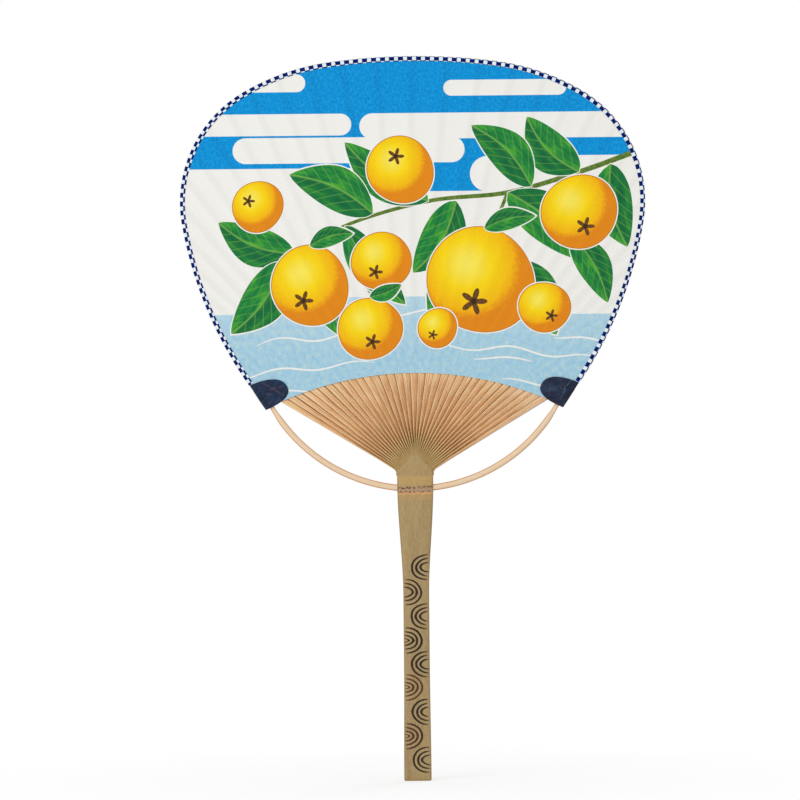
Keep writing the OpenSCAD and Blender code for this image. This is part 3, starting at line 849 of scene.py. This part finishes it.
def leaf_shape(base, tip, width, bend, n=22):
    """A pointed leaf from base to tip. A point's local place is how far along it and how far across it is."""
    axis = tip - base
    length, u = abs(axis), axis / abs(axis)
    side = 1j * u

    def centre(t):
        return base + axis * t + side * bend * math.sin(math.pi * t)

    def half(t):
        return width / 2 * math.sin(math.pi * t ** 0.85) ** 0.8 if 0 < t < 1 else 0.0

    left = [centre(t) + side * half(t) for t in np.linspace(0, 1, n)]
    right = [centre(t) - side * half(t) for t in np.linspace(1, 0, n)[1:-1]]

    def local(q):
        t = float(dot(u, q - base)) / length
        return t + 1j * float(dot(side, q - centre(min(1.0, max(0.0, t))))) / (width / 2)

    return left + right, local


def ribbon(points, widths):
    p = np.array(points)
    d = np.gradient(p)
    side = 1j * d / np.abs(d)
    w = np.array(widths) / 2
    return list(p + side * w) + list((p - side * w)[::-1])


def curve(points, n=24):
    """A smooth line through a few points."""
    points = [2 * points[0] - points[1], *points, 2 * points[-1] - points[-2]]
    out = []
    for a, b, c, d in zip(points, points[1:], points[2:], points[3:]):
        for t in np.linspace(0, 1, n, endpoint=False):
            out.append(0.5 * (2 * b + (c - a) * t + (2 * a - 5 * b + 4 * c - d) * t * t
                              + (3 * b - a - 3 * c + d) * t ** 3))
    return out + [points[-2]]


def mist(x0, x1, z, h):
    """A band of mist: a bar with round ends."""
    r = h / 2
    out = [x1 + 1j * z + r * np.exp(1j * a) for a in np.linspace(-math.pi / 2, math.pi / 2, 14)]
    return out + [x0 + 1j * z + r * np.exp(1j * a) for a in np.linspace(math.pi / 2, 3 * math.pi / 2, 14)]


# the print's materials, by their number on the front leaf
PALE, BLUE, WHITE, FRUIT, CALYX, GREEN, STEM, OUTLINE, DARK, INNER = range(10)


def printed_shapes():
    """A summer branch with round yellow fruit over water and bands of mist. Later shapes lie on top."""
    rnd = random.Random(11)
    far = 140
    out = [([-far + 380j, far + 380j, far + 262j, 60 + 268j, -20 + 300j, -far + 300j], BLUE, None)]
    for bar in ((-130, -58, 352, 9), (20, 74, 349, 8), (-20, 130, 330, 13), (-130, -36, 331, 11),
                (-84, 20, 318, 13), (38, 130, 305.5, 18), (-130, -30, 302.5, 13), (-60, 130, 286, 22),
                (20, 150, 268, 16), (-150, -14, 284, 24), (-150, 40, 266, 22), (-40, 150, 252, 16),
                (-150, -60, 250, 12), (70, 150, 239.5, 10), (-110, -64, 240, 9)):
        out.append((mist(*bar), WHITE, None))
    for z0, x0, x1, amp in (
            (236, -30, 60, 1.6), (226, -80, -6, 1.8), (219, 8, 96, 1.6), (211, -90, -20, 1.4),
            (203, 44, 86, 1.2), (228, 70, 104, 1.2), (214, 30, 60, 1.0), (200, -86, -50, 1.2)):
        xs = np.linspace(x0, x1, 60)
        line = xs + 1j * (z0 + amp * np.sin(xs / 6.2) - 0.0009 * xs ** 2)
        ends = np.sin(np.linspace(0, math.pi, 60)) ** 0.4
        out.append((ribbon(line, 0.9 * ends + 0.02), WHITE, None))

    def stem(points, w0, w1):
        c = curve([complex(*q) for q in points])
        out.append((ribbon(c, np.linspace(w0, w1, len(c))), STEM, None))

    def green(b, t, w, bend):
        """A leaf over a white one that is a little larger."""
        b, t = complex(*b), complex(*t)
        over = unit(t - b)
        out.append((leaf_shape(b - 0.4 * over, t + 1.0 * over, w + 1.2, bend)[0], WHITE, None))
        poly, local = leaf_shape(b, t, w, bend)
        out.append((poly, GREEN, local))

    def fruit(x, z, r, look):
        """A fruit with a white and a brown border, and its calyx turned to look."""
        def seen_as(c, r):
            return lambda q: (q - c) / r

        c = complex(x, z)
        rim = round_shape(c, 1.0, rnd)
        for inset, number in ((-0.6, WHITE), (0.0, OUTLINE), (0.4, FRUIT)):
            poly = [c + (q - c) * (r - inset) for q in rim]
            out.append((poly, number, seen_as(c, r) if number == FRUIT else None))
        eye = c + 0.42 * r * np.exp(1j * look)
        turns = [2 * math.pi * i / 50 for i in range(50)]
        star = [eye + r * (0.17 + 0.09 * math.cos(5 * a)) * np.exp(1j * a) for a in turns]
        out.append((star, CALYX, seen_as(eye, r * 0.3)))
        out.append((round_shape(eye, r * 0.055, rnd, 0.05, 14), DARK, None))

    stem(((118, 318), (84, 306), (48, 296), (8, 292), (-34, 280), (-66, 262)), 2.8, 1.4)
    stem(((48, 296), (40, 276), (36, 262)), 1.8, 1.1)
    stem(((-34, 280), (-30, 262), (-22, 246)), 1.5, 1.0)
    stem(((84, 306), (86, 290), (80, 272)), 1.6, 1.0)
    stem(((8, 292), (-2, 306), (-8, 316)), 1.5, 1.0)
    for leaf in (((100, 310), (108, 268), 22, -4), ((84, 306), (58, 334), 21, 4),
                 ((60, 299), (30, 330), 20, -4), ((48, 296), (84, 262), 24, 4), ((22, 292), (0, 256), 22, 4),
                 ((8, 292), (-34, 322), 20, 4), ((-20, 286), (-62, 306), 22, -4),
                 ((-34, 280), (-4, 240), 18, -3), ((-60, 266), (-98, 282), 20, 4),
                 ((-66, 262), (-92, 226), 22, 4), ((-62, 262), (-36, 224), 20, 4),
                 ((36, 268), (8, 232), 22, -4), ((44, 262), (72, 224), 24, 4), ((80, 274), (98, 240), 17, 3)):
        green(*leaf)
    for f in ((34, 252, 27, -1.9), (-16, 262, 15, 4.2), (84, 286, 19, -1.2), (-52, 250, 20, -2.0),
              (-22, 228, 16, -1.4), (-6, 308, 17, 1.9), (-78, 290, 13, 2.6), (66, 238, 13, -0.9),
              (12, 228, 10, -2.2)):
        fruit(*f)
    for leaf in (((36, 278), (62, 284), 11, 2), ((-22, 244), (-6, 250), 8, -1),
                 ((-52, 270), (-30, 276), 10, 2)):
        green(*leaf)
    return out


def build_leaves():
    mats = [paper("print_pale", pale_print), paper("print_blue", blue_print, 0.07),
            paper("print_white", (246, 245, 240)), paper("print_fruit", fruit_print, 0.03),
            paper("print_calyx", calyx_print, 0.03), paper("print_green", green_print),
            paper("print_stem", stem_print, 0.03), paper("print_outline", (196, 118, 30), 0.03),
            paper("print_dark", (60, 44, 20), 0.0), paper("paper_inside", (236, 232, 220), 0.02)]
    leaf_sheet("front_sheet", -1, printed_shapes(), mats, INNER, "front_leaf")
    plain = paper("paper_back", (244, 243, 238))
    leaf_sheet("back_sheet", 1, [], [plain, plain], 1, "back_leaf")


# The edge tape
def tape_material():
    """Two rows of squares. The tape drifts inwards and along on its way round the rim."""
    n = Nodes("tape_check", 0.8, 0.05)
    u, v, _ = n.split(n.uv())
    way = n.math("DIVIDE", n.add(u, 255.0), 510.0)
    drift = n.mul(n.ramp(way, (0.01, 0.49), (0.17, 0.49), (0.335, 0.68), (0.5, 0.92), (0.56, 0.97),
                         (0.665, 0.97), (0.83, 0.77), (0.92, 0.69), (0.96, 0.5)), 4.5)
    row_at = n.mul(n.ramp(way, (0.17, 0.54), (0.3, 0.53), (0.35, 0.65), (0.5, 0.72), (0.66, 0.82),
                          (0.76, 0.82), (0.855, 1.0), (0.885, 1.0), (0.96, 0.83)), 3.0)
    along = n.add(u, n.swing(n.grain((250, 250, 250), 2.0), 0.3))
    wave = n.math("SINE", n.mul(n.add(n.sub(along, drift), 1.6), math.pi / 2.25))
    row = n.math("DIVIDE", n.add(n.sub(v, TAPE_W), row_at), 1.95)
    even = n.math("LESS_THAN", n.math("FRACT", n.mul(row, 0.5)), 0.5)
    blue = n.add(n.mul(even, n.math("GREATER_THAN", wave, -0.22)),
                 n.mul(n.sub(1.0, even), n.math("LESS_THAN", wave, 0.3)), clamp=True)
    fibre = n.grain((1200, 1200, 1200), 3.0, 0.7)
    navy = n.ramp(fibre, (0.3, (0, 16, 84)), (0.7, (0, 38, 122)))
    light = n.ramp(fibre, (0.35, (216, 232, 240)), (0.65, (253, 253, 250)))
    return n.done(n.mix(blue, light, navy), fibre)


def build_tape():
    """A strip folded over the rim. Its section's points are how far inwards and how far back they lie."""
    half = CORE + PAPER_T + GLUE
    out, t = half + TAPE_T, TAPE_T
    section = [(TAPE_W, -out), (1.2, -out), (0.35, -out), (0.12, -out * 0.72), (0.02, -out * 0.35),
               (0.0, 0.0), (0.02, out * 0.35), (0.12, out * 0.72), (0.35, out), (1.2, out), (TAPE_W, out),
               (TAPE_W, half), (1.2, half), (0.45, half), (t + GLUE, half * 0.4), (t + GLUE, -half * 0.4),
               (0.45, -half), (1.2, -half), (TAPE_W, -half)]
    v_at = [0.0]
    for (a, b), (c, d) in zip(section, section[1:]):
        v_at.append(v_at[-1] + math.hypot(a - c, b - d))
    paths = [both_sides(outline(inset, 1.3, RAD(124.75))) for inset, _ in section]
    rim = paths[section.index((0.0, 0.0))]
    along = np.concatenate([[0], np.cumsum(np.abs(np.diff(rim)))])
    along -= along[len(along) // 2]
    verts, faces = sweep([[(path[i].real, y, path[i].imag) for path, (_, y) in zip(paths, section)]
                          for i in range(len(rim))])
    m = len(section)
    uv = [(along[i // m], v_at[i % m]) for f in faces for i in f]
    add_mesh("tape_strip", verts, faces, [tape_material()], None, uv, ("edge_tape",), 50)


# The corner patches
def patch_material(name, tones, crease_highlight_tone):
    """Stiff navy paper. Its second map holds the painted light and shade of the creases and the distance from
    the border.
    """
    n = Nodes(name, 0.5, 0.25)
    lit, border, _ = n.split(n.uv("Second"))
    crumple = n.node("TexVoronoi", 0, settings=(("feature", "DISTANCE_TO_EDGE"),),
                     Vector=n.scaled(n.place(), (230, 230, 230)), Scale=1.0)
    fold = n.fall(crumple, 0.0, 0.09)
    fine, slow = n.grain((900, 900, 900), 4.0, 0.65), n.grain((160, 160, 160), 2.0)
    base = n.ramp(slow, *zip((0.3, 0.5, 0.7), tones))
    worn = n.mul(fold, n.ramp(fine, (0.5, 0.0), (0.7, 1.0)))
    base = n.mix(n.mul(worn, 0.5), base, (110, 78, 84))
    # a painted highlight along the creases with a positive tone, broken up by the fine noise
    crease_highlight = n.mul(n.math("MAXIMUM", lit, 0.0), n.ramp(fine, (0.38, 0.25), (0.6, 1.0)), clamp=True)
    base = n.mix(crease_highlight, base, crease_highlight_tone)
    # painted shade along the creases with a negative tone, and darker within 0.8 mm of the border
    dark = n.math("MAXIMUM", n.mul(lit, -1.0), n.fall(border, 0.0, 0.8))
    base = n.mix(n.mul(dark, 0.85, clamp=True), base, (2, 5, 16))
    return n.done(base, n.add(n.mul(fold, 0.6), n.mul(fine, 0.5)), 0.12, 0.8)


def build_patch(side, mat, creases):
    """A patch folded over the rim at the corner. A crease is (start, end, height, width, tone): places in
    mm inwards from the rim and along it, tone from -1 for painted shade to 1 for a painted highlight."""
    middle, along, inwards = 78.7 + 193.75j, 0.542 + 0.840j, -0.840 + 0.542j
    length, half, power, shear = 15.3, 7.4, 2.4, 0.18
    rows, cols = 44, 56

    def folds(t, s):
        """How high the creases lift a place, and their tone of painted light and shade there."""
        lift, tone = 0.0, 0.0
        for a, b, tall, wide, tint in creases:
            w = min(1, max(0, dot(b - a, t + 1j * s - a) / abs(b - a) ** 2))
            near = math.exp(-((abs(t + 1j * s - a - w * (b - a)) / wide) ** 2))
            lift, tone = lift + tall * near, tone + tint * near
        return lift, tone

    def at(f, g):
        """A place in the fan's plane, how far inwards it lies and how far along. g runs inwards from 0 to
        1, f across from -1 to 1."""
        t = length * math.sin(g * math.pi / 2)
        s = f * (half * max(0.0, 1 - (t / length) ** power) ** (1 / power))
        return middle + (t - 0.14 * (1 - f * f) * (1 - g)) * inwards + (s - shear * t) * along, t, s

    # from the inner end of the front face, over the rim, to the inner end of the back face
    path = [(g, -1) for g in np.linspace(1, 0, rows)]
    path += [(0, -0.5), (0, 0.0), (0, 0.5)] + [(g, 1) for g in np.linspace(0, 1, rows)]
    verts, uv = [], []
    for g, face in path:
        for i in range(cols + 1):
            f = 2 * i / cols - 1
            q, t, s = at(f, g)
            base = float(relief(np.array([q]))[0]) if edge_distance(np.array([q]))[0] > 0.2 else CORE
            y0 = max(base, 0.42 if g > 0.05 else 0.3) + PAPER_T + 0.05
            lift, tone = folds(t, s)
            lift += 0.05 * math.sin(q.real * 1.9 + q.imag * 1.3) + 0.05
            if abs(face) == 1:
                y = face * (y0 + lift)
            else:
                y = face * y0
                q = q - inwards * 0.12 * (1 - abs(face))
            verts.append((side * q.real, y, q.imag))
            border = min(t if face == 0 or t > 1 else 1.0, length * (1 - g) * 1.2,
                         half * (1 - abs(f)) * max(0.2, abs(s) / half + 0.3))
            uv.append((t, s, tone, border))
    faces = grid(0, len(path), cols + 1, side < 0)
    name = "patch_right" if side > 0 else "patch_left"
    ob = add_mesh(name, verts, faces, [mat], None, loop_uv(faces, uv), ("corner_" + name,))
    thick = ob.modifiers.new("Thickness", "SOLIDIFY")
    thick.thickness, thick.offset = 0.14 * MM, 1.0


build_stick()
build_bow()
dress_thread()
build_leaves()
build_tape()
build_patch(1, patch_material("patch_blue", ((4, 12, 34), (10, 28, 56), (28, 46, 76)),
                              (112, 134, 156)),
            ((2.75 + 7.2j, 3.84 + 1.84j, 0.25, 0.4, -1.0), (3.3 + 7.0j, 4.4 + 2.0j, 0.08, 0.25, 0.9),
             (3.9 + 1.9j, 4.2 + 1.6j, 0.1, 0.4, 0.8), (3.84 + 1.8j, 3.15 - 4.5j, 0.1, 0.4, 0.3),
             (13 - 1.5j, 4.5 - 0.5j, 0.05, 0.5, 0.1), (11 - 3j, 6 + 4j, 0.04, 0.7, 0.1)))
build_patch(-1, patch_material("patch_red", ((2, 20, 46), (8, 36, 66), (20, 48, 80)),
                               (104, 82, 100)),
            ((5.94 + 6.2j, 11.6 - 4.3j, 0.15, 0.35, 0.5), (7.04 + 1.3j, 13.4 + 0.6j, 0.1, 0.35, 0.4),
             (4.67 + 0.15j, 7.06 - 1.4j, 0.12, 0.3, 0.6), (1.8 + 6.5j, 1.8 - 6.5j, 0.12, 0.4, -0.8)))


# The floor: white paper that gets the fan's shadow. To the camera and in gloss it also glows, the more so
# away from the fan, so that it runs into the white background.
def build_floor():
    n = Nodes("floor_white", 0.9, 0.0)
    n.colour((250, 250, 250))
    paths = n.tree.nodes.new("ShaderNodeLightPath")
    glow = n.node("Emission", Strength=1.0)
    mixer = n.tree.nodes.new("ShaderNodeMixShader")
    distance = n.node("VectorMath", 1, settings=(("operation", "LENGTH"),), i0=n.place())
    share = n.add(n.mul(n.math("DIVIDE", distance, 0.25, True), 0.35), 0.65)
    seen = n.mul(n.math("MAXIMUM", paths.outputs["Is Camera Ray"], paths.outputs["Is Glossy Ray"]), share)
    for socket, source in zip(mixer.inputs, (seen, n.bsdf.outputs[0], glow)):
        n.tree.links.new(source, socket)
    output = next(o for o in n.tree.nodes if o.type == "OUTPUT_MATERIAL")
    n.tree.links.new(mixer.outputs[0], output.inputs["Surface"])
    me = bpy.data.meshes.new("floor")
    me.from_pydata([(-6, -6, 0), (6, -6, 0), (6, 6, 0), (-6, 6, 0)], [], [(0, 1, 2, 3)])
    me.materials.append(n.mat)
    floor = bpy.data.objects.new("floor", me)
    scene.collection.objects.link(floor)


def build_world():
    """White all round: full strength for the camera and in gloss, less as a light."""
    world = bpy.data.worlds.new("studio")
    scene.world = world
    world.use_nodes = True
    tree = world.node_tree
    ray = tree.nodes.new("ShaderNodeLightPath")
    level = tree.nodes.new("ShaderNodeMath")
    level.operation = "MAXIMUM"
    strength = tree.nodes.new("ShaderNodeMapRange")
    strength.inputs["To Min"].default_value = 0.62
    strength.inputs["To Max"].default_value = 1.0
    background = tree.nodes["Background"]
    background.inputs["Color"].default_value = (1, 1, 1, 1)
    tree.links.new(ray.outputs["Is Camera Ray"], level.inputs[0])
    tree.links.new(ray.outputs["Is Glossy Ray"], level.inputs[1])
    tree.links.new(level.outputs[0], strength.inputs["Value"])
    tree.links.new(strength.outputs[0], background.inputs["Strength"])


def lamp(name, place, aim, size, power):
    light = bpy.data.lights.new(name, "AREA")
    light.size, light.energy = size, power
    ob = bpy.data.objects.new(name, light)
    ob.location = place
    ob.rotation_mode = "QUATERNION"
    ob.rotation_quaternion = (Vector(aim) - Vector(place)).to_track_quat("-Z", "Y")
    scene.collection.objects.link(ob)


build_floor()
build_world()
lamp("key", (-1.1, -1.3, 1.3), (0, 0, 0.2), 0.9, 13)
lamp("fill_behind", (1.0, 1.4, 1.1), (0, 0, 0.2), 1.0, 9)

camera = bpy.data.cameras.new("camera")
camera.sensor_width, camera.lens, camera.clip_end = 36, 223.2, 20
shooter = bpy.data.objects.new("camera", camera)
shooter.location = (-0.00727, -2.5, 0.1919)
shooter.rotation_euler = (math.pi / 2, RAD(0.54), 0)
scene.collection.objects.link(shooter)
scene.camera = shooter
scene.view_settings.view_transform = "Standard"
